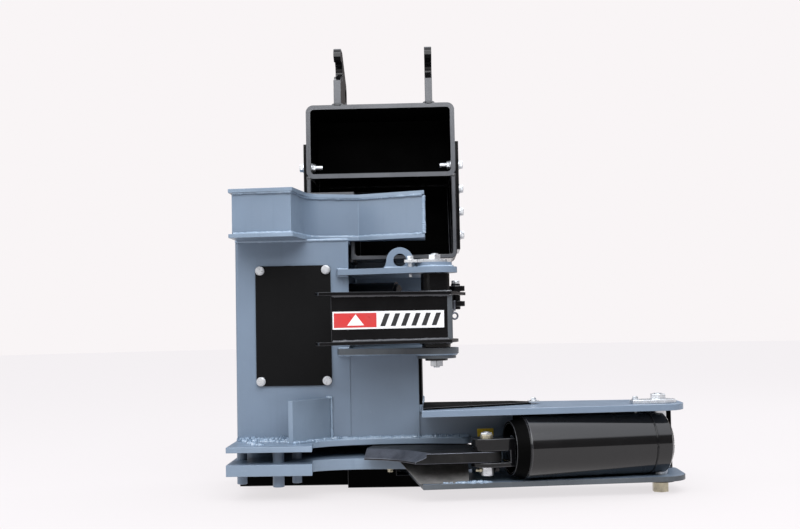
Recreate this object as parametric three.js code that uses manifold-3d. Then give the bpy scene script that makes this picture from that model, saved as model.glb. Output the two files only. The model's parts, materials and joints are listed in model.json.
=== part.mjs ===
// Hydraulic tree shear with a grapple arm, an excavator attachment. Millimetres, +Z up.
// X runs along the cylinder housing, Y runs from the open throat towards the rear wall.
// The layout is drawn from the tower's front face (Y = 0) and the ground (Z = 0). The whole
// machine is then moved so that the origin is on the blade's pivot axis, at ground level.
import * as THREE from "three";
import { mergeVertices } from "three/addons/utils/BufferGeometryUtils.js";
import Module from "manifold-3d";

const wasm = await Module();
wasm.setup();

// ---- driving dimensions ----
const bladePivot = { x: -46, y: 115 };
const armPivot = { x: 12, y: -45 };
const basePin = { x: 571, y: -50 };          // base pin of the shear cylinder
const bladeLug = { x: 130, y: -150 };        // rod pin of the shear cylinder, blade open
const armLug = { x: 66, y: 40 };             // rod pin of the grapple cylinder, arm closed
const anchorPin = { x: -340, y: 150 };       // base pin of the grapple cylinder
const gap = 0.3;                             // clearance of welded or pinned neighbours
const rearY = 280;                           // rear face of the tower
const tower = { left: -512, right: -214, wall: 10, bottom: 137, top: 658 };
const pocket = { right: -27, edge: 8, bend: -100 };
const skid = { height: 32, left: -528, middle: -230, right: -15 };
const floorPlate = { z: 32, t: 13 };         // lower plate of the cylinder housing
const roofPlate = { z: 207, t: 16 };         // upper plate of the cylinder housing
const lowerJaw = { z: 65, t: 28 };
const upperJaw = { z: 123, t: 14 };
const blade = { z: 95.5, t: 25, hub: 95, lug: 36, edge: 5, bevel: 34 };
const lowerBracket = { z: 357, t: 15 };
const upperBracket = { z: 563, t: 15 };
const hook = { z: 658, height: 124, flange: 10, web: 10, rear: 98 };
const arm = { z: 386, height: 128, plate: 8, web: 10, hub: 37 };
const shearAxisZ = 124;
const shear = { tube: 76.5, bore: 63.5, rod: 32, pistonT: 24, stroke: 279 };
const grappleAxisZ = 505;
const grapple = { tube: 41, bore: 34, rod: 17.5 };
const mount = { left: -331, right: 74, front: 100, rear: 330, wall: 12, floor: 608, shelf: 832, top: 1033 };
const ear = { t: 20, left: -254, right: -5, top: 1194, bore: 22.5 };

const shearLength = Math.hypot(basePin.x - bladeLug.x, basePin.y - bladeLug.y);
const shearYaw = Math.atan2(basePin.y - bladeLug.y, basePin.x - bladeLug.x);
const grappleLength = Math.hypot(armLug.x - anchorPin.x, armLug.y - anchorPin.y);
const grappleYaw = Math.atan2(armLug.y - anchorPin.y, armLug.x - anchorPin.x);

// ---- finishes ----
const finish = (color, roughness, metalness) =>
  new THREE.MeshStandardMaterial({ color, roughness, metalness });
const greyPaint = finish(0x7d8fa2, 0.45, 0.1);
const blackPaint = finish(0x0d0e10, 0.22, 0.1);
const coverPaint = finish(0x17181b, 0.55, 0.1);
const bladeSteel = finish(0x3c3d3f, 0.5, 0.8);
const zinc = finish(0xc9ccd0, 0.3, 0.9);
const yellowZinc = finish(0xb8a878, 0.35, 0.9);
const chrome = finish(0xd8dadd, 0.12, 1);

// ---- solids ----
const machine = new THREE.Group();
machine.position.set(-bladePivot.x, -bladePivot.y, 0);

function add(name, geometry, material, parent = machine) {
  const mesh = new THREE.Mesh(geometry, material);
  mesh.name = name;
  parent.add(mesh);
  return mesh;
}

function solid(geometry) {
  const bare = geometry.clone();
  bare.deleteAttribute("normal");
  bare.deleteAttribute("uv");
  const welded = mergeVertices(bare, 1e-4);
  return new wasm.Manifold(new wasm.Mesh({
    numProp: 3,
    vertProperties: new Float32Array(welded.attributes.position.array),
    triVerts: new Uint32Array(welded.index.array),
  }));
}

function toGeometry(body) {
  const mesh = body.getMesh();
  const geometry = new THREE.BufferGeometry();
  geometry.setAttribute("position", new THREE.BufferAttribute(mesh.vertProperties, 3));
  geometry.setIndex(new THREE.BufferAttribute(mesh.triVerts, 1));
  return geometry;
}

function cut(base, ...tools) {
  return toGeometry(tools.reduce((body, tool) => body.subtract(solid(tool)), solid(base)));
}

function join(base, ...others) {
  return toGeometry(others.reduce((body, other) => body.add(solid(other)), solid(base)));
}

function block([x0, x1], [y0, y1], [z0, z1]) {
  const box = new THREE.BoxGeometry(x1 - x0, y1 - y0, z1 - z0);
  return box.translate((x0 + x1) / 2, (y0 + y1) / 2, (z0 + z1) / 2);
}

function bar(at, radius, z0, z1, sides = 28) {
  const rod = new THREE.CylinderGeometry(radius, radius, z1 - z0, sides).rotateX(Math.PI / 2);
  return rod.translate(at.x, at.y, (z0 + z1) / 2);
}

// A ring stands upright about a point, with its faces at z0 and z1.
function ring(at, outer, inner, z0, z1, sides = 28) {
  return cut(bar(at, outer, z0, z1, sides), bar(at, inner, z0 - 1, z1 + 1, 28));
}

function outline(points) {
  return new THREE.Shape(points.map(([x, y]) => new THREE.Vector2(x, y)));
}

// A flat plate drawn in plan, from z0 up by its thickness.
function plate(shape, z0, thickness, curveSegments = 12) {
  const options = { depth: thickness, bevelEnabled: false, curveSegments };
  return new THREE.ExtrudeGeometry(shape, options).translate(0, 0, z0);
}

// A plate drawn as seen from the front (X across, Z up), between two values of Y.
function frontPlate(shape, y0, y1, curveSegments = 8) {
  const options = { depth: y1 - y0, bevelEnabled: false, curveSegments };
  const turn = new THREE.Matrix4().makeBasis(
    new THREE.Vector3(1, 0, 0), new THREE.Vector3(0, 0, 1), new THREE.Vector3(0, -1, 0));
  return new THREE.ExtrudeGeometry(shape, options).applyMatrix4(turn).translate(0, y1, 0);
}

// A plate drawn as seen from the side (Y across, Z up), from x0 by its thickness.
function sidePlate(shape, x0, thickness, curveSegments = 10) {
  const options = { depth: thickness, bevelEnabled: false, curveSegments };
  const turn = new THREE.Matrix4().makeBasis(
    new THREE.Vector3(0, 1, 0), new THREE.Vector3(0, 0, 1), new THREE.Vector3(1, 0, 0));
  return new THREE.ExtrudeGeometry(shape, options).applyMatrix4(turn).translate(x0, 0, 0);
}

// A turned piece about the X axis; each profile point is [x, radius].
function turned(profile, sides = 40) {
  const points = profile.map(([x, r]) => new THREE.Vector2(r, x));
  return new THREE.LatheGeometry(points, sides).rotateZ(-Math.PI / 2);
}

function rounded(x0, x1, z0, z1, r) {
  const shape = new THREE.Shape();
  shape.moveTo(x0 + r, z0);
  shape.lineTo(x1 - r, z0);
  shape.absarc(x1 - r, z0 + r, r, -Math.PI / 2, 0);
  shape.lineTo(x1, z1 - r);
  shape.absarc(x1 - r, z1 - r, r, 0, Math.PI / 2);
  shape.lineTo(x0 + r, z1);
  shape.absarc(x0 + r, z1 - r, r, Math.PI / 2, Math.PI);
  shape.lineTo(x0, z0 + r);
  shape.absarc(x0 + r, z0 + r, r, Math.PI, 1.5 * Math.PI);
  return shape;
}

// ---- tower column ----
const coverPlace = { left: -458, right: -261, bottom: 278, top: 591, t: 5, inset: 12 };
const coverBolts = [coverPlace.left + coverPlace.inset, coverPlace.right - coverPlace.inset]
  .flatMap((x) => [coverPlace.bottom + coverPlace.inset, coverPlace.top - coverPlace.inset]
    .map((z) => ({ x, z })));
const boltShank = 6.5;

function boltHole({ x, z }, radius, y0, y1) {
  return new THREE.CylinderGeometry(radius, radius, y1 - y0, 16).translate(x, (y0 + y1) / 2, z);
}

function makeTower() {
  const { left, right, wall, bottom, top } = tower;
  const inner = rearY - wall;
  const corner = 9;
  const shell = new THREE.Shape();
  shell.moveTo(left, inner);
  shell.lineTo(left, corner);
  shell.absarc(left + corner, corner, corner, Math.PI, 1.5 * Math.PI);
  shell.lineTo(right, 0);
  shell.lineTo(right, wall);
  shell.lineTo(left + wall, wall);
  shell.lineTo(left + wall, inner);
  const window = frontPlate(rounded(-425, -294, 312, 560, 20), -1, wall + 1);
  const holes = coverBolts.map((place) => boltHole(place, boltShank + gap, -1, wall + 1));
  add("tower_shell", cut(plate(shell, bottom, top - bottom), window, ...holes), greyPaint);

  add("tower_right_plate",
    block([right - wall, right], [wall, inner], [bottom, lowerBracket.z]), greyPaint);
  const rear = outline([[left, bottom], [pocket.right, bottom], [pocket.right, mount.floor],
    [right, mount.floor], [right, top], [left, top]]);
  add("tower_back_plate", frontPlate(rear, inner, rearY), greyPaint);

  const edge = pocket.right - pocket.edge;
  const panel = outline([[right, 2], [pocket.bend, 14], [edge, 6], [edge, 6 + wall],
    [pocket.bend, 14 + wall], [right, 2 + wall]]);
  add("pocket_panel", plate(panel, bottom, lowerBracket.z - bottom), greyPaint);
  const roof = roofPlate.z + roofPlate.t;
  add("pocket_side_plate", join(
    block([edge, pocket.right], [26, inner], [roof - 60, lowerBracket.z]),
    block([edge, pocket.right], [4, 27], [roof, lowerBracket.z])), blackPaint);
}

function makeCover() {
  const { left, right, bottom, top, t } = coverPlace;
  const sheet = frontPlate(rounded(left, right, bottom, top, 11), -t, 0);
  const holes = coverBolts.map((place) => boltHole(place, boltShank + gap, -t - 1, 1));
  add("access_cover", cut(sheet, ...holes), coverPaint);
  coverBolts.forEach((place, index) => {
    const washer = boltHole(place, 12, -t - 2.5, -t);
    const head = new THREE.CylinderGeometry(10.5, 10.5, 8, 6).translate(place.x, -t - 6.5, place.z);
    const shank = boltHole(place, boltShank, -t - 1, 22);
    add(`cover_bolt_${index + 1}`, join(washer, head, shank), zinc);
  });
}

// ---- jaw plates ----
const jaw = { left: -514, tip: -300, front: -150, right: 98, corner: 60 };
const spacerBars = [
  { name: "front_spacer_bar", x: -390, y: -100, r: 14.5 },
  { name: "middle_spacer_bar", x: -352, y: -30, r: 12.5 },
  { name: "side_spacer_bar", x: -492, y: -40, r: 13 },
];

function makeJaws() {
  const upper = new THREE.Shape();
  upper.moveTo(jaw.left, jaw.front);
  upper.lineTo(jaw.tip, jaw.front);
  upper.lineTo(-306, -66);
  upper.bezierCurveTo(-255, -12, -140, 4, -15, -2);
  upper.lineTo(78, -20);
  upper.absarc(78, 0, 20, -Math.PI / 2, 0);
  upper.lineTo(jaw.right, 200);
  upper.lineTo(jaw.corner, rearY);
  upper.lineTo(jaw.left, rearY);
  const hole = (level) => bar(bladePivot, 30 + gap, level.z - 1, level.z + level.t + 1, 36);
  add("upper_jaw_plate", cut(plate(upper, upperJaw.z, upperJaw.t), hole(upperJaw)), greyPaint);

  const lower = new THREE.Shape();
  lower.moveTo(jaw.left, jaw.front);
  lower.lineTo(jaw.tip, jaw.front);
  lower.lineTo(-306, -77);
  lower.bezierCurveTo(-255, -40, -150, -42, -67, -52);
  lower.lineTo(0, -80);
  lower.lineTo(73, -80);
  lower.absarc(73, -55, 25, -Math.PI / 2, 0);
  lower.lineTo(jaw.right, 200);
  lower.lineTo(jaw.corner, rearY);
  lower.lineTo(jaw.left, rearY);
  const barHoles = spacerBars.map((post) =>
    bar(post, post.r + gap, lowerJaw.z - 1, lowerJaw.z + lowerJaw.t + 1, 24));
  add("lower_jaw_plate",
    cut(plate(lower, lowerJaw.z, lowerJaw.t), hole(lowerJaw), ...barHoles), greyPaint);

  add("jaw_spacer_block",
    block([jaw.left, jaw.corner], [230, rearY], [lowerJaw.z + lowerJaw.t, upperJaw.z]), blackPaint);
  for (const post of spacerBars) {
    add(post.name, bar(post, post.r, skid.height, upperJaw.z, 24), greyPaint);
  }
  const gusset = outline([[-282, 0], [-266, 0], [-354, -96], [-366, -88]]);
  add("jaw_gusset", plate(gusset, tower.bottom, 108), greyPaint);
}

function makeSkids() {
  add("left_skid",
    block([skid.left, skid.middle], [132, rearY], [0, lowerJaw.z]), blackPaint);
  const foot = block([skid.middle, skid.right], [78, rearY], [0, skid.height]);
  const step = block([skid.middle, -100], [78, 128], [skid.height - 1, lowerJaw.z]);
  add("right_skid", join(foot, step), blackPaint);
}

// ---- cylinder housing ----
const housing = { end: 62, rear: 62, taper: 0.124, step: 207 };

function housingEdge(shape) {
  const start = -Math.PI / 2 + housing.taper;
  shape.lineTo(basePin.x + housing.end * Math.cos(start), basePin.y + housing.end * Math.sin(start));
  shape.absarc(basePin.x, basePin.y, housing.end, start, 0);
  shape.lineTo(basePin.x + housing.end, housing.rear - 20);
  shape.absarc(basePin.x + housing.end - 20, housing.rear - 20, 20, 0, Math.PI / 2);
  shape.lineTo(housing.step, housing.rear);
}

function makeHousing() {
  const edge = pocket.right - pocket.edge;
  const roof = new THREE.Shape();
  roof.moveTo(pocket.right, -194);
  housingEdge(roof);
  roof.lineTo(housing.step, 24);
  roof.lineTo(edge, 24);
  roof.lineTo(edge, 3);
  roof.lineTo(pocket.right, 3);
  const pinHole = (level) => bar(basePin, 19 + gap, level.z - 1, level.z + level.t + 1);
  add("housing_top_plate", cut(plate(roof, roofPlate.z, roofPlate.t), pinHole(roofPlate)), greyPaint);

  const floor = new THREE.Shape();
  floor.moveTo(-27, -190);
  housingEdge(floor);
  floor.lineTo(60, rearY);
  floor.lineTo(skid.middle, rearY);
  floor.lineTo(skid.middle, 132);
  floor.lineTo(-90, 132);
  floor.lineTo(-70, 96);
  add("housing_bottom_plate",
    cut(plate(floor, floorPlate.z, floorPlate.t), pinHole(floorPlate)), greyPaint);

  const low = floorPlate.z + floorPlate.t;
  const clear = jaw.right + gap;
  const web = outline([[edge, tower.bottom], [clear, tower.bottom], [clear, low],
    [housing.step, low], [housing.step, roofPlate.z], [edge, roofPlate.z]]);
  add("housing_back_panel", frontPlate(web, 12, 24), greyPaint);
  add("guard_panel", block([180, 624], [50, 58], [low, roofPlate.z]), blackPaint);
}

// ---- fixed hook above the throat ----
function hookCurve(inset) {
  const shape = new THREE.Shape();
  shape.moveTo(-498 - inset, 240);
  shape.lineTo(-498 - inset, -117 - inset);
  shape.lineTo(-346 + inset * 0.6, -134 - inset);
  shape.lineTo(-334 + inset, -43 - inset * 0.4);
  shape.bezierCurveTo(-330 + inset, 2 - inset, -318, 32 - inset, -291, 44 - inset);
  shape.lineTo(-190, 74 - inset);
  shape.lineTo(-16 + inset * 0.5, 0 - inset);
  return shape;
}

function makeHook() {
  const flangeShape = hookCurve(8);
  flangeShape.lineTo(-12, hook.rear);
  flangeShape.lineTo(tower.right, hook.rear);
  flangeShape.lineTo(tower.right, rearY);
  flangeShape.lineTo(-506, rearY);
  flangeShape.lineTo(-506, 240);
  add("hook_bottom_plate", plate(flangeShape, hook.z, hook.flange, 8), greyPaint);
  add("hook_top_plate",
    plate(flangeShape, hook.z + hook.height - hook.flange, hook.flange, 8), greyPaint);

  const band = hookCurve(0);
  const back = hookCurve(-hook.web).getPoints(8).reverse();
  back.forEach((point) => band.lineTo(point.x, point.y));
  add("hook_web",
    plate(band, hook.z + hook.flange, hook.height - 2 * hook.flange, 8), greyPaint);
}

// ---- brackets and pin of the grapple arm ----
function bracketShape() {
  const shape = new THREE.Shape();
  shape.moveTo(-246, 0);
  shape.lineTo(-240, -24);
  shape.lineTo(-8, -98);
  shape.absarc(armPivot.x, armPivot.y, 57, -1.93, 0.5);
  shape.lineTo(pocket.right, 100);
  shape.lineTo(pocket.right, rearY - tower.wall);
  shape.lineTo(tower.right, rearY - tower.wall);
  shape.lineTo(tower.right, 0);
  return shape;
}

function makeBrackets() {
  const boss = 12;
  const top = upperBracket.z + upperBracket.t;
  const pinHole = (z0, z1) => bar(armPivot, 20 + gap, z0, z1);
  const upper = join(plate(bracketShape(), upperBracket.z, upperBracket.t),
    bar(armPivot, 44, top - 1, top + boss));
  add("upper_arm_bracket", cut(upper, pinHole(upperBracket.z - 1, top + boss + 1)), greyPaint);
  const lower = join(plate(bracketShape(), lowerBracket.z, lowerBracket.t),
    bar(armPivot, 50, lowerBracket.z - boss, lowerBracket.z + 1));
  const low = lowerBracket.z - boss;
  add("lower_arm_bracket",
    cut(lower, pinHole(low - 1, lowerBracket.z + lowerBracket.t + 1)), greyPaint);

  const shank = bar(armPivot, 20, low, top + boss);
  const thread = bar(armPivot, 11.7, low - 20, low + 1);
  const flag = plate(outline([[-66, -74], [12, -78], [40, -64], [44, -45], [30, -18], [-62, -44]]),
    top + boss, 7);
  const head = bar(armPivot, 17, top + boss + 6, top + boss + 20, 6);
  add("arm_pin", join(shank, thread, flag, head), zinc);
  const flangeNut = join(bar(armPivot, 29, low - 6, low), bar(armPivot, 18, low - 20, low - 5, 6));
  add("arm_pin_nut", cut(flangeNut, bar(armPivot, 12, low - 21, low + 1)), blackPaint);

  const lug = new THREE.Shape();
  lug.moveTo(-119, top);
  lug.lineTo(-37, top);
  lug.lineTo(-43, top + 19);
  lug.absarc(-78, top + 19, 35, 0, Math.PI);
  const eye = new THREE.Path();
  eye.absarc(-78, top + 21, 17, 0, 2 * Math.PI, true);
  lug.holes.push(eye);
  add("hose_eye", frontPlate(lug, -28, -16, 14), greyPaint);
}

// ---- base pin of the shear cylinder and the blade's pivot pin ----
function makePins() {
  const roof = roofPlate.z + roofPlate.t;
  const shank = bar(basePin, 19, floorPlate.z, roof);
  const thread = bar(basePin, 11.7, 2, floorPlate.z + 1);
  const flag = plate(outline([[502, -84], [582, -88], [614, -66], [614, -34], [586, -18],
    [512, -38], [498, -58]]), roof, 9);
  const head = bar(basePin, 20, roof + 8, roof + 22, 6);
  add("base_pin", join(shank, thread, flag, head), zinc);
  add("base_pin_washer", ring(basePin, 37, 12, 26, floorPlate.z), blackPaint);
  add("base_pin_nut", ring(basePin, 20.8, 12, 0, 26, 6), yellowZinc);

  const top = upperJaw.z + upperJaw.t;
  const pivot = bar(bladePivot, 30, floorPlate.z + floorPlate.t + 2, top + 1, 36);
  const cap = bar(bladePivot, 46, top, top + 15, 36);
  add("blade_pin", join(pivot, cap), zinc);
}

// ---- mount for the carrier machine ----
function makeMount() {
  const { left, right, front, rear, wall, floor, shelf, top } = mount;
  const depth = [front - 1, rear - wall];
  const box = frontPlate(rounded(left, right, shelf, top, 20), front, rear);
  const hollow = frontPlate(
    rounded(left + wall, right - wall, shelf + wall, top - wall, 10), ...depth);
  add("mount_upper_box", cut(box, hollow), blackPaint);

  const hookTop = hook.z + hook.height;
  const tub = new THREE.Shape();
  tub.moveTo(left, shelf);
  tub.lineTo(left, hookTop);
  tub.lineTo(tower.right, hookTop);
  tub.lineTo(tower.right, floor);
  tub.lineTo(right - 18, floor);
  tub.absarc(right - 18, floor + 18, 18, -Math.PI / 2, 0);
  tub.lineTo(right, shelf);
  const inside = new THREE.Shape();
  inside.moveTo(left + wall, shelf + 1);
  inside.lineTo(left + wall, hookTop + wall);
  inside.lineTo(tower.right + wall, hookTop + wall);
  inside.lineTo(tower.right + wall, floor + 20);
  inside.absarc(tower.right + wall + 8, floor + 20, 8, Math.PI, 1.5 * Math.PI);
  inside.lineTo(right - wall - 8, floor + wall);
  inside.absarc(right - wall - 8, floor + 20, 8, -Math.PI / 2, 0);
  inside.lineTo(right - wall, shelf + 1);
  add("mount_lower_box",
    cut(frontPlate(tub, front, rear), frontPlate(inside, ...depth)), blackPaint);

  const cheek = 9;
  const cheekTop = 928;
  add("mount_left_side_plate",
    block([left - cheek, left], [front + 10, rear - 10], [hookTop + 2, cheekTop]), blackPaint);
  add("mount_right_side_plate",
    block([right, right + cheek], [front + 10, rear - 10], [632, cheekTop]), blackPaint);
}

function makeEars() {
  const profile = new THREE.Shape();
  profile.moveTo(104, mount.top);
  profile.lineTo(104, 1102);
  profile.lineTo(120, 1108);
  profile.absarc(150, 1137, 28, 1.25 * Math.PI, 2.75 * Math.PI);
  profile.lineTo(112, 1169);
  profile.lineTo(112, ear.top - 18);
  profile.absarc(130, ear.top - 18, 18, Math.PI, Math.PI / 2, true);
  profile.lineTo(176, ear.top);
  profile.lineTo(300, 1132);
  profile.absarc(282, 1096, 42, 1.1, 0, true);
  profile.lineTo(324, mount.top);
  for (const [name, x] of [["mount_left_ear", ear.left], ["mount_right_ear", ear.right]]) {
    const bore = new THREE.CylinderGeometry(ear.bore, ear.bore, ear.t + 2, 28)
      .rotateZ(Math.PI / 2).translate(x + ear.t / 2, 280, 1092);
    add(name, cut(sidePlate(profile, x, ear.t), bore), blackPaint);
  }
}

// ---- blade ----
const edgeCurve = new THREE.QuadraticBezierCurve(
  new THREE.Vector2(-175, -100), new THREE.Vector2(-92, -118), new THREE.Vector2(-45, -197));

// The bevel is cut by a wedge that runs along the edge and a little past both of its ends.
function bevelWedge() {
  const run = edgeCurve.getPoints(10);
  const before = run[0].clone().multiplyScalar(2).sub(run[1]);
  const after = run[10].clone().multiplyScalar(2).sub(run[9]);
  const height = blade.z + blade.edge;
  const path = new THREE.CatmullRomCurve3(
    [before, ...run, after].map((point) => new THREE.Vector3(point.x, point.y, height)));
  const slope = (blade.t - blade.edge) / blade.bevel;
  const past = 12;
  const wedge = outline([[past * slope, -past], [-(blade.bevel + past) * slope, blade.bevel + past],
    [-(blade.bevel + past) * slope - 6, -past]]);
  return new THREE.ExtrudeGeometry(wedge, { steps: 24, bevelEnabled: false, extrudePath: path });
}

function makeBlade() {
  const reach = Math.hypot(bladeLug.x - bladePivot.x, bladeLug.y - bladePivot.y);
  const across = Math.atan2(bladeLug.y - bladePivot.y, bladeLug.x - bladePivot.x);
  const lean = Math.asin((blade.hub - blade.lug) / reach);
  const side = across + Math.PI / 2 - lean;
  const shape = new THREE.Shape();
  shape.moveTo(-22, -202);
  shape.lineTo(bladeLug.x - 8, bladeLug.y - blade.lug + 1);
  shape.absarc(bladeLug.x, bladeLug.y, blade.lug, 1.45 * Math.PI, 2.33 * Math.PI);
  shape.lineTo(122, -94);
  shape.absarc(bladePivot.x, bladePivot.y, blade.hub, side, Math.PI);
  edgeCurve.getPoints(12).forEach((point) => shape.lineTo(point.x, point.y));
  const holes = [
    bar(bladePivot, 30.5, blade.z - 1, blade.z + blade.t + 1, 36),
    bar(bladeLug, 16.6, blade.z - 1, blade.z + blade.t + 1),
  ];
  add("shear_blade", cut(plate(shape, blade.z, blade.t, 16), bevelWedge(), ...holes), bladeSteel);
}

// ---- shear cylinder, drawn along X from its base pin; the rod points to -X ----
function makeShearCylinder() {
  const group = new THREE.Group();
  group.position.set(basePin.x, basePin.y, shearAxisZ);
  group.rotation.z = shearYaw;
  machine.add(group);
  const { tube, bore, rod, pistonT, stroke } = shear;
  const baseHalf = 36;
  const mouth = -361;
  const insert = 8;
  const eye = -shearLength;
  const neck = eye + 64;
  const pistonFace = mouth + insert + 2 + stroke;

  add("shear_barrel", turned([[mouth, bore], [mouth, tube - 3], [mouth + 3, tube],
    [-baseHalf - gap, tube], [-baseHalf - gap, bore], [mouth, bore]], 48), blackPaint, group);
  const base = turned([[-baseHalf, 0], [-baseHalf, tube], [2, tube], [6, tube - 4],
    [12, 56], [22, 40], [27, 26], [27, 0]], 48);
  add("shear_barrel_base", cut(base, bar({ x: 0, y: 0 }, 19.4, -90, 90)), blackPaint, group);
  add("shear_gland", turned([[mouth - 8, rod + gap], [mouth - 8, 59], [mouth - 33, 60],
    [mouth - 33, 66], [mouth - gap, tube - 2], [mouth - gap, bore - gap],
    [mouth + insert, bore - gap], [mouth + insert, rod + gap], [mouth - 8, rod + gap]], 48),
  blackPaint, group);
  add("shear_rod", turned([[neck + gap, 0], [neck + gap, rod], [pistonFace, rod],
    [pistonFace, bore - gap], [pistonFace + pistonT, bore - gap], [pistonFace + pistonT, 0]]),
  chrome, group);

  const ears = { bottom: -41, top: 28, low: -30, high: -2, root: eye + 50 };
  const fork = new THREE.Shape();
  fork.moveTo(neck, -34);
  fork.lineTo(neck, 34);
  fork.lineTo(eye, 38);
  fork.absarc(eye, 0, 38, Math.PI / 2, 1.5 * Math.PI);
  const pinAt = { x: eye, y: 0 };
  const slot = block([eye - 60, ears.root], [-60, 60], [ears.low, ears.high]);
  const holes = bar(pinAt, 16 + gap, ears.bottom - 5, ears.top + 5);
  add("shear_clevis",
    cut(plate(fork, ears.bottom, ears.top - ears.bottom), slot, holes), blackPaint, group);
  const bladeTop = blade.z + blade.t - shearAxisZ;
  const bladeBottom = blade.z - shearAxisZ;
  add("clevis_pin_top", bar(pinAt, 16, bladeTop + gap, ears.top + 8), yellowZinc, group);
  add("clevis_pin_bottom", bar(pinAt, 16, ears.bottom - 21, bladeBottom - gap), zinc, group);
}

// ---- grapple arm ----
function armShape() {
  const shape = new THREE.Shape();
  shape.moveTo(-279, -228);
  shape.lineTo(-268, -252);
  shape.lineTo(52, -126);
  return shape;
}

function makeArm() {
  const { z, height, plate: sheet, web, hub } = arm;
  const topZ = z + height - sheet;
  const common = (shape) => {
    shape.lineTo(66, -80);
    shape.lineTo(69, -45);
  };
  const inner = (shape) => {
    shape.lineTo(-40, -22);
    shape.bezierCurveTo(-70, -80, -150, -128, -232, -160);
    shape.lineTo(-279, -196);
  };
  const top = armShape();
  common(top);
  top.lineTo(armLug.x + 26, armLug.y);
  top.absarc(armLug.x, armLug.y, 26, 0, Math.PI);
  top.lineTo(26, 4);
  inner(top);
  const bottom = armShape();
  common(bottom);
  bottom.absarc(armPivot.x, armPivot.y, 57, 0, 0.75 * Math.PI);
  inner(bottom);
  const hubHole = (z0, z1) => bar(armPivot, hub + gap, z0, z1, 36);
  const lugHole = bar(armLug, 13.6, topZ - 1, topZ + sheet + 1, 24);
  add("arm_top_plate", cut(plate(top, topZ, sheet), hubHole(topZ - 1, topZ + 9), lugHole), blackPaint);
  add("arm_bottom_plate", cut(plate(bottom, z, sheet), hubHole(z - 1, z + 9)), blackPaint);

  const webZ = z + sheet;
  const webHeight = height - 2 * sheet;
  const front = outline([[-241, -226], [45, -114], [45, -80], [35, -80], [35, -107], [-241, -215]]);
  add("arm_front_web", plate(front, webZ, webHeight), blackPaint);
  const rearWeb = new THREE.Shape();
  rearWeb.moveTo(-34, -44);
  rearWeb.bezierCurveTo(-70, -96, -150, -140, -241, -178);
  rearWeb.lineTo(-241, -178 - web);
  rearWeb.bezierCurveTo(-150, -151, -62, -108, -25, -56);
  add("arm_inner_web", plate(rearWeb, webZ, webHeight, 8), blackPaint);
  const low = lowerBracket.z + lowerBracket.t + 1;
  add("arm_hub", ring(armPivot, hub, 20.4, low, upperBracket.z - 1, 36), blackPaint);
}

// ---- grapple cylinder, drawn along X from its base pin inside the tower ----
function makeGrappleCylinder() {
  const group = new THREE.Group();
  group.position.set(anchorPin.x, anchorPin.y, grappleAxisZ);
  group.rotation.z = grappleYaw;
  machine.add(group);
  const { tube, bore, rod } = grapple;
  const mouth = 258;
  const barrel = turned([[-28, 0], [-28, tube - 5], [-23, tube], [mouth, tube], [mouth, bore],
    [30, bore], [30, 0]], 36);
  add("grapple_barrel", cut(barrel, bar({ x: 0, y: 0 }, 13.4, -60, 60, 24)), blackPaint, group);
  add("grapple_gland", turned([[mouth - 24, rod + gap], [mouth - 24, bore - gap],
    [mouth + gap, bore - gap], [mouth + gap, tube - 4], [mouth + 8, tube - 8],
    [mouth + 8, rod + gap], [mouth - 24, rod + gap]], 36), blackPaint, group);

  const eye = grappleLength;
  const neck = eye - 50;
  const rodSolid = turned([[136, 0], [136, bore - gap], [158, bore - gap], [158, rod], [neck, rod],
    [neck, 0]], 32);
  add("grapple_rod", rodSolid, chrome, group);

  const ears = { bottom: -28, top: 26, low: -14, high: 12 };
  const fork = new THREE.Shape();
  fork.moveTo(neck + gap, 22);
  fork.lineTo(neck + gap, -22);
  fork.lineTo(eye, -24);
  fork.absarc(eye, 0, 24, -Math.PI / 2, Math.PI / 2);
  const pinAt = { x: eye, y: 0 };
  const slot = block([eye - 36, eye + 60], [-60, 60], [ears.low, ears.high]);
  const forkBody = cut(plate(fork, ears.bottom, ears.top - ears.bottom), slot);
  const armTop = arm.z + arm.height - grappleAxisZ;
  const stubs = [
    bar(pinAt, 12, armTop + gap, ears.top + 6, 24),
    bar(pinAt, 12, ears.bottom - 8, armTop - arm.plate - gap, 24),
  ];
  add("grapple_clevis", join(forkBody, ...stubs), blackPaint, group);

  const shelf = { low: -57, high: 57, t: 12 };
  const bracket = outline([[112, shelf.low], [270, shelf.low], [270, shelf.high], [112, shelf.high],
    [112, shelf.high - shelf.t], [258, shelf.high - shelf.t], [258, shelf.low + shelf.t],
    [112, shelf.low + shelf.t]]);
  const holder = sidePlate(bracket, anchorPin.x - 36, 72).translate(0, 0, grappleAxisZ);
  const pinHole = bar(anchorPin, 13 + gap, grappleAxisZ - 70, grappleAxisZ + 70, 24);
  add("grapple_anchor", cut(holder, pinHole), greyPaint);
  const pinTop = grappleAxisZ + shelf.high;
  add("grapple_anchor_pin", join(
    bar(anchorPin, 13, grappleAxisZ + shelf.low - 8, pinTop + 1, 24),
    bar(anchorPin, 20, pinTop, pinTop + 8, 24)), zinc);
}

makeTower();
makeCover();
makeJaws();
makeSkids();
makeHousing();
makeHook();
makeBrackets();
makePins();
makeMount();
makeEars();
makeBlade();
makeShearCylinder();
makeArm();
makeGrappleCylinder();

export default machine;
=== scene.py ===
import json
import math
import random
import bmesh
import bpy
from mathutils import Matrix, Vector


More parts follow.
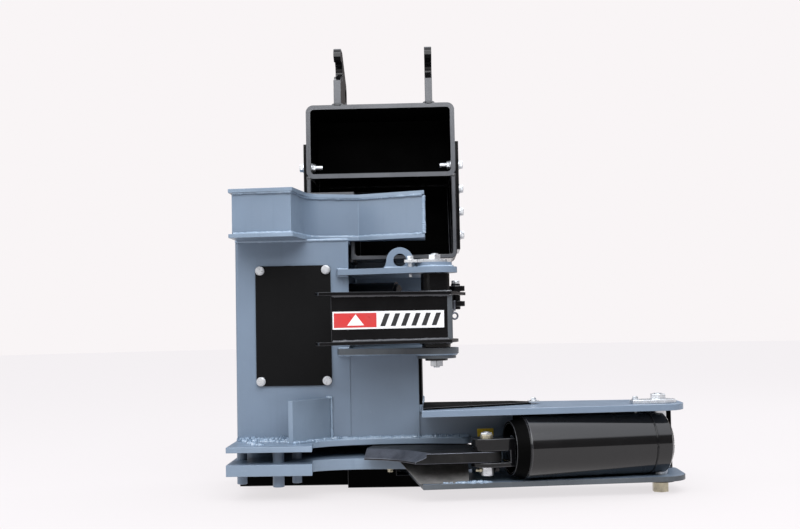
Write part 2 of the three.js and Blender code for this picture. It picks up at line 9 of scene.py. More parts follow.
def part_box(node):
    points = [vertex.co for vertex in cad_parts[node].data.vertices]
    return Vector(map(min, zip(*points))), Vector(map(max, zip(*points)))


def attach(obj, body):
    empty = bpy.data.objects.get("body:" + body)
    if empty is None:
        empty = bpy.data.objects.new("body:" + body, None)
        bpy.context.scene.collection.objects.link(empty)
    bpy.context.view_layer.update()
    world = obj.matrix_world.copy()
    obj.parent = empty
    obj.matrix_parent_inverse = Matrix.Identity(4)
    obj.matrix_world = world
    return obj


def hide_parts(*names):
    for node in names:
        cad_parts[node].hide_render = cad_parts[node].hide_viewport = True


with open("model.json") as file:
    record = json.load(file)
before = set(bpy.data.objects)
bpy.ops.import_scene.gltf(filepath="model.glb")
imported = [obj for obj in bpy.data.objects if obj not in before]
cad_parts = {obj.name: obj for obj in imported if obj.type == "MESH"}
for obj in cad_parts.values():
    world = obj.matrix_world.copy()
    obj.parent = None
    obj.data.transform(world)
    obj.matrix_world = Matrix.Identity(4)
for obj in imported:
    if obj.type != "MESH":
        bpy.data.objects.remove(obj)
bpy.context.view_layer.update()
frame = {"nodes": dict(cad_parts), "record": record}
nodes = frame["nodes"]
bodyOf = {node: body for body, members in frame["record"]["behaviour"]["bodies"].items() for node in members}
slotOf = {part["node"]: part["material_slot"] for part in frame["record"]["subparts"]}
mm = 0.001
random.seed(7)
print("frame loaded:", len(nodes), "nodes")

# The workshop layout is in mm, from the tower's front face and the ground.
towerRight = -214      # where the tower's right side stands in the layout
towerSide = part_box("tower_right_plate")[1][0]
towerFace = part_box("tower_shell")[0][1]
layoutOrigin = Vector((towerSide - towerRight * mm, towerFace, 0))


def at(x, y, z):
    return layoutOrigin + Vector((x, y, z)) * mm


# Camera, floor and light.
camera = {
    "place": (0.046, -3.015, 0.449),
    "lens": 50.0,
    "sensor": 36.0,
    "reach": 60.0,
    "yaw": math.radians(1.55),
    "pitch": math.radians(2.76),
    "roll": math.radians(-1.07),
}


def makeCamera():
    data = bpy.data.cameras.new("view")
    data.lens = camera["lens"]
    data.sensor_width = camera["sensor"]
    data.clip_end = camera["reach"]
    eye = bpy.data.objects.new("view", data)
    turn = (Matrix.Rotation(camera["yaw"], 4, "Z")
            @ Matrix.Rotation(math.pi / 2 + camera["pitch"], 4, "X")
            @ Matrix.Rotation(camera["roll"], 4, "Z"))
    eye.matrix_world = Matrix.Translation(camera["place"]) @ turn
    bpy.context.scene.collection.objects.link(eye)
    bpy.context.scene.camera = eye


floorSheet = {"radius": 15.0, "sides": 64, "albedo": (0.13, 0.126, 0.126),
              "glow": (0.713, 0.686, 0.695)}


def makeFloor():
    bm = bmesh.new()
    bmesh.ops.create_circle(bm, cap_ends=True, segments=floorSheet["sides"], radius=floorSheet["radius"])
    mesh = bpy.data.meshes.new("floor")
    bm.to_mesh(mesh)
    bm.free()
    floor = bpy.data.objects.new("floor", mesh)
    bpy.context.scene.collection.objects.link(floor)
    paper = bpy.data.materials.new("studioPaper")
    paper.use_nodes = True
    surface = paper.node_tree.nodes["Principled BSDF"]
    surface.inputs["Base Color"].default_value = (*floorSheet["albedo"], 1)
    surface.inputs["Emission Color"].default_value = (*floorSheet["glow"], 1)
    surface.inputs["Emission Strength"].default_value = 1.0
    surface.inputs["Roughness"].default_value = 1.0
    surface.inputs["Specular IOR Level"].default_value = 0.0
    mesh.materials.append(paper)


def makeLight(name, place, aim, size, power, colour):
    data = bpy.data.lights.new(name, "AREA")
    data.shape = "RECTANGLE"
    data.size, data.size_y = size
    data.energy = power
    data.color = colour
    lamp = bpy.data.objects.new(name, data)
    away = Vector(place) - Vector(aim)
    lamp.matrix_world = Matrix.Translation(place) @ away.to_track_quat("Z", "Y").to_matrix().to_4x4()
    bpy.context.scene.collection.objects.link(lamp)


studio = {
    "backdrop": (0.947, 0.913, 0.922),     # what the camera sees behind the object
    "ceiling": (1.86, 1.90, 2.02),         # soft light from overhead
    "horizon": (0.13, 0.12, 0.12),         # dark walls that the gloss reflects
    "edge": (0.44, 0.52),                  # sine of the height where walls meet ceiling
}
# Each lamp is its place, what it faces, its width and height, its power and its tint.
lamps = {
    "frontSoftbox": ((0.3, -3.0, 2.7), (0.1, 0, 0.4), (3.4, 2.6), 125, (0.97, 0.98, 1)),
    "leftSoftbox": ((-3.4, -2.4, 1.9), (0, 0, 0.5), (1.6, 2.2), 40, (0.95, 0.98, 1)),
    "rightRim": ((2.8, 1.6, 2.4), (0.1, 0, 0.5), (1.2, 1.6), 22, (1, 1, 1)),
}


def makeStudio():
    world = bpy.data.worlds.new("studio")
    world.use_nodes = True
    tree = world.node_tree
    sky = tree.nodes["Background"]
    coords = tree.nodes.new("ShaderNodeTexCoord")
    axes = tree.nodes.new("ShaderNodeSeparateXYZ")
    tree.links.new(coords.outputs["Generated"], axes.inputs["Vector"])
    height = tree.nodes.new("ShaderNodeValToRGB")
    low, high = height.color_ramp.elements
    low.position, high.position = studio["edge"]
    low.color = (*studio["horizon"], 1)
    high.color = (*studio["ceiling"], 1)
    tree.links.new(axes.outputs["Z"], height.inputs["Fac"])
    seen = tree.nodes.new("ShaderNodeLightPath")
    choose = tree.nodes.new("ShaderNodeMix")
    choose.data_type = "RGBA"
    tree.links.new(seen.outputs["Is Camera Ray"], choose.inputs["Factor"])
    tree.links.new(height.outputs["Color"], choose.inputs["A"])
    choose.inputs["B"].default_value = (*studio["backdrop"], 1)
    tree.links.new(choose.outputs["Result"], sky.inputs["Color"])
    bpy.context.scene.world = world
    bpy.context.scene.view_settings.view_transform = "Standard"
    for name, settings in lamps.items():
        makeLight(name, *settings)


# Finishes.
def startMaterial(name):
    material = bpy.data.materials.new(name)
    material.use_nodes = True
    tree = material.node_tree
    return material, tree, tree.nodes["Principled BSDF"]


def noise(tree, coords, scale, detail=4.0, roughness=0.55, stretch=None):
    texture = tree.nodes.new("ShaderNodeTexNoise")
    texture.inputs["Scale"].default_value = scale
    texture.inputs["Detail"].default_value = detail
    texture.inputs["Roughness"].default_value = roughness
    source = coords.outputs["Object"]
    if stretch:
        mapping = tree.nodes.new("ShaderNodeMapping")
        mapping.inputs["Scale"].default_value = stretch
        tree.links.new(source, mapping.inputs["Vector"])
        source = mapping.outputs["Vector"]
    tree.links.new(source, texture.inputs["Vector"])
    return texture.outputs["Fac"]


def ramp(tree, value, stops):
    node = tree.nodes.new("ShaderNodeValToRGB")
    band = node.color_ramp
    while len(band.elements) < len(stops):
        band.elements.new(0.5)
    for element, (place, colour) in zip(band.elements, stops):
        element.position = place
        element.color = (*colour, 1)
    tree.links.new(value, node.inputs["Fac"])
    return node.outputs["Color"]


def spread(tree, value, low, high):
    node = tree.nodes.new("ShaderNodeMapRange")
    node.inputs["From Min"].default_value = 0.3
    node.inputs["From Max"].default_value = 0.7
    node.inputs["To Min"].default_value = low
    node.inputs["To Max"].default_value = high
    tree.links.new(value, node.inputs["Value"])
    return node.outputs["Result"]


def mixColour(tree, amount, first, second):
    node = tree.nodes.new("ShaderNodeMix")
    node.data_type = "RGBA"
    tree.links.new(amount, node.inputs["Factor"])
    for socket, value in ((node.inputs["A"], first), (node.inputs["B"], second)):
        if isinstance(value, tuple):
            socket.default_value = (*value, 1)
        else:
            tree.links.new(value, socket)
    return node.outputs["Result"]


def bump(tree, surface, height, strength, distance):
    node = tree.nodes.new("ShaderNodeBump")
    node.inputs["Strength"].default_value = strength
    node.inputs["Distance"].default_value = distance
    tree.links.new(height, node.inputs["Height"])
    tree.links.new(node.outputs["Normal"], surface.inputs["Normal"])


# Noise scales are in cycles for each metre, and depths in metres.
enamelPattern = {"mottle": 5.5, "grime": 46.0, "streak": 7.0, "sheen": 14.0,
                 "run": (9.0, 9.0, 0.7), "peelDepth": 0.0006}


def makeEnamel(name, settings):
    material, tree, surface = startMaterial(name)
    coords = tree.nodes.new("ShaderNodeTexCoord")
    body = settings["colour"]
    shade = tuple(channel * (1 - settings["mottle"]) for channel in body)
    light = tuple(min(1, channel * (1 + settings["mottle"])) for channel in body)
    tone = ramp(tree, noise(tree, coords, enamelPattern["mottle"], 5.0), [(0.32, shade), (0.68, light)])
    specks = noise(tree, coords, enamelPattern["grime"], 8.0, 0.7)
    grime = ramp(tree, specks, [(0.60, (0, 0, 0)), (0.80, (1, 1, 1))])
    dusty = mixColour(tree, grime, tone, settings["dust"])
    streak = noise(tree, coords, enamelPattern["streak"], 6.0, 0.6, enamelPattern["run"])
    streaks = ramp(tree, streak, [(0.56, (0, 0, 0)), (0.90, (1, 1, 1))])
    tree.links.new(mixColour(tree, streaks, dusty, settings["streak"]), surface.inputs["Base Color"])
    sheen = noise(tree, coords, enamelPattern["sheen"], 6.0)
    tree.links.new(spread(tree, sheen, *settings["roughness"]), surface.inputs["Roughness"])
    surface.inputs["Specular IOR Level"].default_value = settings["specular"]
    surface.inputs["Coat Weight"].default_value = settings["coat"]
    surface.inputs["Coat Roughness"].default_value = settings["coatRoughness"]
    peel = noise(tree, coords, settings["peelScale"], 2.0)
    bump(tree, surface, peel, settings["peel"], enamelPattern["peelDepth"])
    return material


scratchDepth = 0.0004


def makeMetal(name, settings):
    material, tree, surface = startMaterial(name)
    coords = tree.nodes.new("ShaderNodeTexCoord")
    tone = ramp(tree, noise(tree, coords, settings["patch"], 6.0, 0.65),
                [(0.3, settings["dark"]), (0.72, settings["colour"])])
    tree.links.new(tone, surface.inputs["Base Color"])
    surface.inputs["Metallic"].default_value = settings["metallic"]
    surface.inputs["Specular IOR Level"].default_value = settings["specular"]
    brushed = noise(tree, coords, settings["grain"], 4.0, 0.6, settings["stretch"])
    tree.links.new(spread(tree, brushed, *settings["roughness"]), surface.inputs["Roughness"])
    bump(tree, surface, brushed, settings["bump"], scratchDepth)
    return material


vinylLook = {"fade": 0.86, "chalk": 0.02, "blotch": 30.0, "sheen": 60.0, "roughness": (0.25, 0.42),
             "grain": 220.0, "relief": 0.08}


def makeVinyl(name, colour):
    material, tree, surface = startMaterial(name)
    coords = tree.nodes.new("ShaderNodeTexCoord")
    faded = tuple(channel * vinylLook["fade"] + vinylLook["chalk"] for channel in colour)
    blotch = noise(tree, coords, vinylLook["blotch"], 6.0, 0.7)
    tone = ramp(tree, blotch, [(0.35, faded), (0.62, colour)])
    tree.links.new(tone, surface.inputs["Base Color"])
    sheen = noise(tree, coords, vinylLook["sheen"], 5.0)
    tree.links.new(spread(tree, sheen, *vinylLook["roughness"]), surface.inputs["Roughness"])
    grain = noise(tree, coords, vinylLook["grain"], 2.0)
    bump(tree, surface, grain, vinylLook["relief"], scratchDepth)
    return material


enamels = {
    "greyEnamel": {"colour": (0.146, 0.194, 0.258), "mottle": 0.07, "dust": (0.170, 0.217, 0.272),
                   "streak": (0.129, 0.173, 0.233), "roughness": (0.30, 0.44), "specular": 0.45,
                   "coat": 0.15, "coatRoughness": 0.2, "peelScale": 420.0, "peel": 0.10},
    # The next coat is a lighter grey for softened edges and plate side faces: partly worn paint, partly
    # painted highlight where edges catch the light.
    "greyEdgeWearAndHighlight": {"colour": (0.178, 0.234, 0.304), "mottle": 0.12, "dust": (0.23, 0.284, 0.345),
                 "streak": (0.150, 0.200, 0.264), "roughness": (0.28, 0.42), "specular": 0.5,
                 "coat": 0.2, "coatRoughness": 0.2, "peelScale": 300.0, "peel": 0.16},
    # The next coat, lighter than the paint, is for the frame's weld beads: painted highlight along the
    # beads.
    "greyWeldHighlight": {"colour": (0.225, 0.300, 0.392), "mottle": 0.16, "dust": (0.31, 0.385, 0.475),
                 "streak": (0.17, 0.232, 0.31), "roughness": (0.20, 0.34), "specular": 0.6,
                 "coat": 0.35, "coatRoughness": 0.16, "peelScale": 240.0, "peel": 0.35},
    # The next coat is a dark grey: painted shade on the side faces of the housing bottom plate and lower arm
    # bracket, and a painted sheen on the arm's end post.
    "shadeAndSheenGrey": {"colour": (0.068, 0.078, 0.088), "mottle": 0.18, "dust": (0.10, 0.112, 0.125),
                 "streak": (0.045, 0.051, 0.058), "roughness": (0.34, 0.50), "specular": 0.4,
                 "coat": 0.1, "coatRoughness": 0.25, "peelScale": 300.0, "peel": 0.22},
    "barrelGloss": {"colour": (0.0030, 0.0030, 0.0033), "mottle": 0.2, "dust": (0.0065, 0.0062, 0.006),
                    "streak": (0.0023, 0.0023, 0.0025), "roughness": (0.20, 0.32), "specular": 0.1,
                    "coat": 1.0, "coatRoughness": 0.025, "peelScale": 150.0, "peel": 0.05},
    "blackEnamel": {"colour": (0.0032, 0.0032, 0.0036), "mottle": 0.2, "dust": (0.0075, 0.0072, 0.007),
                    "streak": (0.0024, 0.0024, 0.0026), "roughness": (0.12, 0.22), "specular": 0.2,
                    "coat": 0.25, "coatRoughness": 0.035, "peelScale": 150.0, "peel": 0.05},
    # The next coat is a lighter black for softened edges of black parts and the mount's weld beads: partly
    # worn paint, partly painted highlight.
    "blackEdgeWearAndHighlight": {"colour": (0.020, 0.0205, 0.023), "mottle": 0.25, "dust": (0.045, 0.045, 0.047),
                  "streak": (0.012, 0.012, 0.013), "roughness": (0.22, 0.36), "specular": 0.5,
                  "coat": 0.3, "coatRoughness": 0.1, "peelScale": 260.0, "peel": 0.15},
    # The next coat is a grey-black: painted highlight on the mount boxes' lit front lips, the inner mount
    # plates' edges and the arm's weld beads.
    "blackLipHighlight": {"colour": (0.075, 0.079, 0.088), "mottle": 0.22, "dust": (0.11, 0.113, 0.12),
                 "streak": (0.038, 0.039, 0.043), "roughness": (0.26, 0.40), "specular": 0.5,
                 "coat": 0.2, "coatRoughness": 0.15, "peelScale": 260.0, "peel": 0.15},
    # The next coat is the deepest, nearly gloss-free black: painted shade inside the mount boxes and on the
    # pocket side plate, and also the coat of the skids, guard, spacer block, gland and housing cover sheet.
    "deepBlackAndShade": {"colour": (0.0012, 0.0012, 0.0012), "mottle": 0.3, "dust": (0.0035, 0.0034, 0.0033),
                    "streak": (0.0009, 0.0009, 0.0009), "roughness": (0.45, 0.62), "specular": 0.02,
                    "coat": 0.0, "coatRoughness": 0.3, "peelScale": 260.0, "peel": 0.12},
    "satinBlack": {"colour": (0.0038, 0.0038, 0.004), "mottle": 0.14, "dust": (0.0075, 0.0075, 0.008),
                   "streak": (0.0031, 0.0031, 0.0033), "roughness": (0.46, 0.60), "specular": 0.08,
                   "coat": 0.0, "coatRoughness": 0.4, "peelScale": 900.0, "peel": 0.22},
}
metals = {
    "bladeSteel": {"colour": (0.021, 0.0205, 0.020), "dark": (0.008, 0.008, 0.0085), "metallic": 0.3,
                   "patch": 16.0, "grain": 30.0, "stretch": (1.0, 9.0, 1.0), "roughness": (0.34, 0.56),
                   "bump": 0.18, "specular": 0.12},
    # The next metal is a pale steel: painted light on the guide plate, which lies in the blade's shadow.
    "guideSteelPaintedLight": {"colour": (0.22, 0.215, 0.21), "dark": (0.11, 0.108, 0.106), "metallic": 0.2,
                   "patch": 28.0, "grain": 50.0, "stretch": (1.0, 6.0, 1.0), "roughness": (0.42, 0.62),
                   "bump": 0.2, "specular": 0.4},
    "groundBevel": {"colour": (0.16, 0.17, 0.20), "dark": (0.07, 0.075, 0.09), "metallic": 0.7,
                    "patch": 22.0, "grain": 60.0, "stretch": (7.0, 7.0, 1.0), "roughness": (0.26, 0.44),
                    "bump": 0.2, "specular": 0.5},
    "brightZinc": {"colour": (0.82, 0.84, 0.85), "dark": (0.52, 0.54, 0.57), "metallic": 0.85,
                   "patch": 45.0, "grain": 160.0, "stretch": (1.0, 1.0, 1.0), "roughness": (0.24, 0.40),
                   "bump": 0.12, "specular": 0.5},
    "yellowZinc": {"colour": (0.70, 0.64, 0.46), "dark": (0.36, 0.33, 0.26), "metallic": 0.8,
                   "patch": 50.0, "grain": 160.0, "stretch": (1.0, 1.0, 1.0), "roughness": (0.26, 0.42),
                   "bump": 0.12, "specular": 0.5},
    "hardChrome": {"colour": (0.80, 0.81, 0.83), "dark": (0.70, 0.71, 0.73), "metallic": 1.0,
                   "patch": 8.0, "grain": 300.0, "stretch": (1.0, 1.0, 1.0), "roughness": (0.05, 0.12),
                   "bump": 0.02, "specular": 0.5},
}
vinyls = {"markerWhite": (0.78, 0.79, 0.80), "markerRed": (0.55, 0.030, 0.030),
          "markerBlack": (0.012, 0.012, 0.013), "markerYellow": (0.95, 0.66, 0.03)}
finish = {name: makeEnamel(name, settings) for name, settings in enamels.items()}
finish.update({name: makeMetal(name, settings) for name, settings in metals.items()})
finish.update({name: makeVinyl(name, colour) for name, colour in vinyls.items()})
print("finishes made:", len(finish))

slotFinish = {
    "grey_paint": ("greyEnamel", "greyEdgeWearAndHighlight"),
    "black_paint": ("blackEnamel", "blackEdgeWearAndHighlight"),
    "satin_black": ("satinBlack", "blackEdgeWearAndHighlight"),
    "blade_steel": ("bladeSteel", "groundBevel"),
    "zinc": ("brightZinc", "brightZinc"),
    "yellow_zinc": ("yellowZinc", "yellowZinc"),
    "chrome_rod": ("hardChrome", "hardChrome"),
}


# Tools that every piece is made with.
sharpAngle = 38      # edges that turn more than this, in degrees, are softened
edgeSteps = 2


def finishPiece(name, bm, body, materials, replaces=(), edge=0.0):
    mesh = bpy.data.meshes.new(name)
    bm.to_mesh(mesh)
    bm.free()
    piece = bpy.data.objects.new(name, mesh)
    bpy.context.scene.collection.objects.link(piece)
    for material in materials:
        mesh.materials.append(finish[material])
    if edge:
        soften = piece.modifiers.new("edges", "BEVEL")
        soften.width = edge
        soften.segments = edgeSteps
        soften.limit_method = "ANGLE"
        soften.angle_limit = math.radians(sharpAngle)
        soften.harden_normals = True
        soften.material = len(materials) - 1
    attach(piece, body)
    if replaces:
        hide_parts(*replaces)
    return piece


def smooth(bm, sharp=30):
    for face in bm.faces:
        face.smooth = True
    for link in bm.edges:
        link.smooth = link.calc_face_angle(0) < math.radians(sharp)


def absorb(bm, part):
    mesh = bpy.data.meshes.new("part")
    part.to_mesh(mesh)
    part.free()
    bm.from_mesh(mesh)
    bpy.data.meshes.remove(mesh)


def turnTo(axis):
    return Vector(axis).normalized().to_track_quat("Z", "Y").to_matrix().to_4x4()


def addRod(bm, centre, axis, radius, length, sides=20, chamfer=0.0, material=0):
    part = bmesh.new()
    bmesh.ops.create_cone(part, cap_ends=True, segments=sides, radius1=radius * mm,
                          radius2=radius * mm, depth=length * mm)
    if chamfer:
        rims = [link for link in part.edges
                if any(len(face.verts) > 4 for face in link.link_faces) or sides <= 4]
        bmesh.ops.bevel(part, geom=rims, offset=chamfer * mm, affect="EDGES", segments=2,
                        profile=0.5, material=-1)
    bmesh.ops.transform(part, matrix=Matrix.Translation(centre) @ turnTo(axis), verts=part.verts[:])
    for face in part.faces:
        face.material_index = material
    absorb(bm, part)


def addPlate(bm, corners, drop):
    part = bmesh.new()
    face = part.faces.new([part.verts.new(corner) for corner in corners])
    grown = bmesh.ops.extrude_face_region(part, geom=[face])["geom"]
    bmesh.ops.translate(part, verts=[g for g in grown if isinstance(g, bmesh.types.BMVert)], vec=drop)
    bmesh.ops.recalc_face_normals(part, faces=part.faces[:])
    absorb(bm, part)


# Shares multiply the width across the flats, the divisor divides it, and the rest is in mm.
boltShape = {"washerThick": 2.2, "faceShare": 0.42, "faceRise": 0.8, "shankShare": 0.30,
             "threadShare": 0.335, "threadPitch": 2.4, "threadStart": 1.4, "threadThick": 1.2,
             "hexDivisor": 1.732}


# A bolt's place is where its washer meets the surface, and its axis points out of that surface.
def addBolt(bm, place, axis, across, head, washer=0.0, shank=0.0):
    out = Vector(axis).normalized() * mm
    thick = boltShape["washerThick"] if washer else 0.0
    if washer:
        addRod(bm, place + out * (thick / 2), axis, washer, thick, 24, 0.4)
    top = thick + head
    addRod(bm, place + out * (thick + head / 2), axis, across / boltShape["hexDivisor"], head, 6, 0.8)
    addRod(bm, place + out * top, axis, across * boltShape["faceShare"], boltShape["faceRise"], 20, 0.2)
    if shank:
        length = shank + 2
        addRod(bm, place + out * (top + length / 2 - 1), axis, across * boltShape["shankShare"],
               length, 16, 0.6)
        pitch = boltShape["threadPitch"]
        for turn in range(int(length / pitch) - 1):
            ridge = place + out * (top + boltShape["threadStart"] + turn * pitch)
            addRod(bm, ridge, axis, across * boltShape["threadShare"], boltShape["threadThick"], 16)


# The CAD nodes, finished with softened edges.
pinNutFlange = 6.5 * mm      # how far the arm pin nut's black flange reaches below its top
frontSkin = 5 * mm           # faces this near a mount part's front take a lighter black: painted highlight on the lit front lip
edgeWidth = {"default": 1.2 * mm, "thin": 0.6 * mm, "heavy": 2.0 * mm}
thinNodes = {"access_cover", "guard_panel", "pocket_side_plate", "arm_top_plate", "arm_bottom_plate",
             "base_pin_washer", "arm_pin_nut", "base_pin_nut", "cover_bolt_1", "cover_bolt_2",
             "cover_bolt_3", "cover_bolt_4", "grapple_gland", "grapple_anchor_pin"}
heavyNodes = {"lower_jaw_plate", "shear_clevis", "mount_upper_box", "mount_lower_box", "grapple_clevis"}
keptNodes = {"shear_rod", "grapple_rod"}
rimNodes = {"upper_jaw_plate", "lower_jaw_plate", "hook_bottom_plate", "hook_top_plate", "jaw_gusset",
            "lower_arm_bracket", "housing_bottom_plate"}
highlightFrontNodes = {"mount_upper_box", "mount_lower_box", "mount_left_ear", "mount_right_ear"}
mountInside = {"mount_upper_box", "mount_lower_box"}
# These take the deepest black; on the pocket side plate it is painted shade on a side wall that stands in
# shadow.
blackAndShadedNodes = {"jaw_spacer_block", "left_skid", "right_skid", "guard_panel", "pocket_side_plate",
             "shear_gland"}
ownCoats = {
    "shear_barrel": ["barrelGloss", "blackEdgeWearAndHighlight"],
    "shear_barrel_base": ["barrelGloss", "barrelGloss"],
    "grapple_barrel": ["barrelGloss", "blackEdgeWearAndHighlight"],
    # The side faces of these two plates take the dark grey coat as painted shade.
    "lower_arm_bracket": ["greyEnamel", "shadeAndSheenGrey"],
    "housing_bottom_plate": ["greyEnamel", "shadeAndSheenGrey"],
    "arm_pin_nut": ["blackEnamel", "brightZinc", "blackEdgeWearAndHighlight"],
}


def facePlan(node, face, low, high):
    middle = face.calc_center_median()
    # Side faces of the rim plates take the second coat: the lighter edge coat as painted highlight, or on
    # the bottom plate and lower bracket the dark grey as painted shade.
    if node in rimNodes and abs(face.normal.z) < 0.3:
        return 1
    # Front faces at a mount part's front take the lip coat: painted highlight.
    if node in highlightFrontNodes and face.normal.y < -0.9 and middle.y < low.y + frontSkin:
        return 2
    # Inward faces and set-back front faces of the mount boxes take the deepest black: painted shade inside
    # the boxes.
    if node in mountInside:
        out = middle - (low + high) / 2
        if out.dot(face.normal) < 0 or face.normal.y < -0.3:
            return 3
    if node == "arm_pin_nut" and middle.z < high.z - pinNutFlange:
        return 1
    if node == "shear_blade" and 0.15 < face.normal.z < 0.95:
        return 1
    return 0


def softenNode(node):
    bm = bmesh.new()
    bm.from_mesh(nodes[node].data)
    bmesh.ops.remove_doubles(bm, verts=bm.verts[:], dist=0.02 * mm)
    bmesh.ops.dissolve_limit(bm, angle_limit=math.radians(0.8), verts=bm.verts[:], edges=bm.edges[:])
    low, high = (Vector(corner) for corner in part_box(node))
    for face in bm.faces:
        face.material_index = facePlan(node, face, low, high)
    smooth(bm)
    kind = "thin" if node in thinNodes else "heavy" if node in heavyNodes else "default"
    slot = slotOf[node]
    coats = list(slotFinish[slot])
    if node in highlightFrontNodes:
        coats = ["blackEnamel", "blackEdgeWearAndHighlight", "blackLipHighlight", "deepBlackAndShade", "blackEdgeWearAndHighlight"]
    elif node in blackAndShadedNodes:
        coats = ["deepBlackAndShade", "blackEdgeWearAndHighlight"]
    elif node in ownCoats:
        coats = ownCoats[node]
    return finishPiece(node + "_finished", bm, bodyOf[node], coats, [node], edgeWidth[kind])


# Weld beads. The drift holds part of its last value, and each sway is in mm.
weld = {"pitch": 5.0, "sides": 7, "ripple": 0.13, "wander": 0.10, "hold": 0.8, "tail": 0.55,
        "least": 0.35, "sway": 0.25}


def resample(points, step):
    samples = [points[0]]
    for start, end in zip(points, points[1:]):
        count = max(1, round((end - start).length / (step * mm)))
        samples += [start.lerp(end, index / count) for index in range(1, count + 1)]
    return samples


def addBead(bm, points, radius, rough=1.0):
    spots = resample(points, weld["pitch"] / 2)
    part = bmesh.new()
    bmesh.ops.create_circle(part, cap_ends=True, segments=weld["sides"], radius=mm)
    ring = part.edges[:]
    last = Matrix.Identity(4)
    drift = 0.0
    for index, spot in enumerate(spots):
        ahead = spots[min(index + 1, len(spots) - 1)] - spots[max(index - 1, 0)]
        drift = weld["hold"] * drift + random.uniform(-1, 1) * weld["wander"] * rough
        swell = 1 + weld["ripple"] * (1 if index % 2 else -1) + drift
        if index in (0, len(spots) - 1):
            swell = weld["tail"]
        size = max(weld["least"], swell) * radius
        sway = Vector((random.uniform(-1, 1), random.uniform(-1, 1), random.uniform(-1, 1)))
        here = (Matrix.Translation(spot + sway * weld["sway"] * rough * mm) @ turnTo(ahead)
                @ Matrix.Diagonal((size, size, 1, 1)))
        if index:
            grown = bmesh.ops.extrude_edge_only(part, edges=ring)["geom"]
            verts = [g for g in grown if isinstance(g, bmesh.types.BMVert)]
            ring = [g for g in grown if isinstance(g, bmesh.types.BMEdge)]
        else:
            verts = part.verts[:]
        bmesh.ops.transform(part, matrix=here @ last.inverted(), verts=verts)
        last = here
    bmesh.ops.holes_fill(part, edges=ring, sides=0)
    bmesh.ops.recalc_face_normals(part, faces=part.faces[:])
    absorb(bm, part)


def loop(centre, radius, axis=(0, 0, 1), start=0, end=360):
    turn = turnTo(axis)
    steps = max(6, round(abs(end - start) * radius / 500))
    return [centre + turn @ (Vector((math.cos(angle), math.sin(angle), 0)) * radius * mm)
            for angle in (math.radians(start + (end - start) * index / steps) for index in range(steps + 1))]


def curve(start, first, second, end, steps=10):
    spots = []
    for index in range(steps + 1):
        t = index / steps
        spots.append(tuple((1 - t) ** 3 * a + 3 * t * (1 - t) ** 2 * b + 3 * t * t * (1 - t) * c + t ** 3 * d
                           for a, b, c, d in zip(start, first, second, end)))
    return spots


def level(plan, z):
    return [at(x, y, z) for x, y in plan]


hookFace = ([(-496, -119), (-347, -136), (-334, -45)]
            + curve((-334, -45), (-330, 0), (-318, 30), (-291, 42))[1:] + [(-190, 72), (-18, -2)])
hookBack = ([(-488, 238), (-488, -105), (-354, -122), (-344, -40)]
            + curve((-344, -40), (-340, 10), (-322, 44), (-291, 56))[1:] + [(-190, 87), (-14, 12)])
tongueFace = [(-214, 0), (-100, 12), (-35, 4), (-33, 10), (94, 10)]
jawFront = curve((-300, -58), (-255, -6), (-140, 10), (-15, 4), 14) + [(76, -12)]


# Each seam is its path, the bead's radius and how lumpy it is.
frameSeams = [
    (level([(-511, -3), (-282, -3)], 139), 9, 3.4),      # foot of the tower, in three passes
    (level([(-506, -12), (-372, -13)], 138), 8.5, 3.8),
    (level([(-498, -23), (-408, -25)], 137), 8, 3.8),
    (level([(-440, -30), (-352, -58)], 137), 5.5, 3.0),
    (level([(-470, -70), (-452, -96), (-424, -104)], 136), 6, 3.4),
    (level([(-268, -2)] + tongueFace, 139), 5.5, 1.6),
    (level(jawFront, 137.5), 3.6, 1.2),
    (level([(-282, -2), (-368, -88)], 139), 5, 1.8),     # both sides of the gusset
    (level([(-264, -2), (-352, -97)], 139), 5, 1.8),
    ([at(-284, -2, 137), at(-284, -2, 245)], 4, 1.4),
    ([at(-263, -2, 137), at(-263, -2, 246), at(-279, -2, 247)], 4, 1.4),
    (level([(-511, -1), (-214, -1)], 657), 4, 1.0),
    (level(hookFace, 668.5), 4.2, 1.2),
    (level(hookBack, 668.5), 4.2, 1.2),
    (level(hookFace, 771.5), 4.2, 1.2),
    (level(hookBack, 771.5), 4.2, 1.2),
    ([at(-14, 3, 669), at(-14, 3, 771)], 5, 0.8),
    (level([(-244, -2), (-214, -2)], 578.5), 4, 1.0),    # roots of the arm brackets
    (level([(-244, -2), (-214, -2)], 562.5), 4, 1.0),
    (level([(-244, -2), (-214, -2)], 372.5), 4, 1.0),
    (level([(-244, -2), (-214, 0), (-100, 12), (-35, 4)], 356), 4.2, 1.0),
    (loop(at(12, -45, 578.5), 45), 3.6, 1.0),            # round the arm's pin
    (loop(at(12, -45, 356.5), 51), 3.6, 1.0),
    (level([(-120, -28), (-36, -28)], 578.5), 4, 1.0),
    (level([(-120, -16), (-36, -16)], 578.5), 4, 1.0),
    (level([(-35, 10), (207, 10)], 206), 4.2, 1.0),      # housing roof and floor
    (level([(-27, 24), (207, 24)], 206), 4.2, 1.0),
    (level([(99, 10), (207, 10)], 46), 5, 1.8),
    (level([(99, 25), (207, 25)], 46), 4.5, 1.0),
    (level([(20, -176), (78, -171), (140, -164)], 45.5), 4, 3.0),
    ([at(-27, 26, 224), at(-27, 268, 224)], 4, 1.0),
]
spacerBars = ((-390, -100, 16), (-352, -30, 14), (-492, -40, 14.5))      # place, ring radius
for barX, barY, barReach in spacerBars:
    frameSeams += [(loop(at(barX, barY, barEnd), barReach), 3.2, 1.0) for barEnd in (64.5, 122.5)]
frameSeams += [([at(side, 270, 140), at(side, 270, 655)], 3.8, 1.0) for side in (-512, towerRight)]
frameSeams += [
    (level([(-511, 281), (60, 281)], 138), 4.5, 1.4),
    (level([(-506, 281), (-214, 281)], 657), 4.5, 1.0),
]

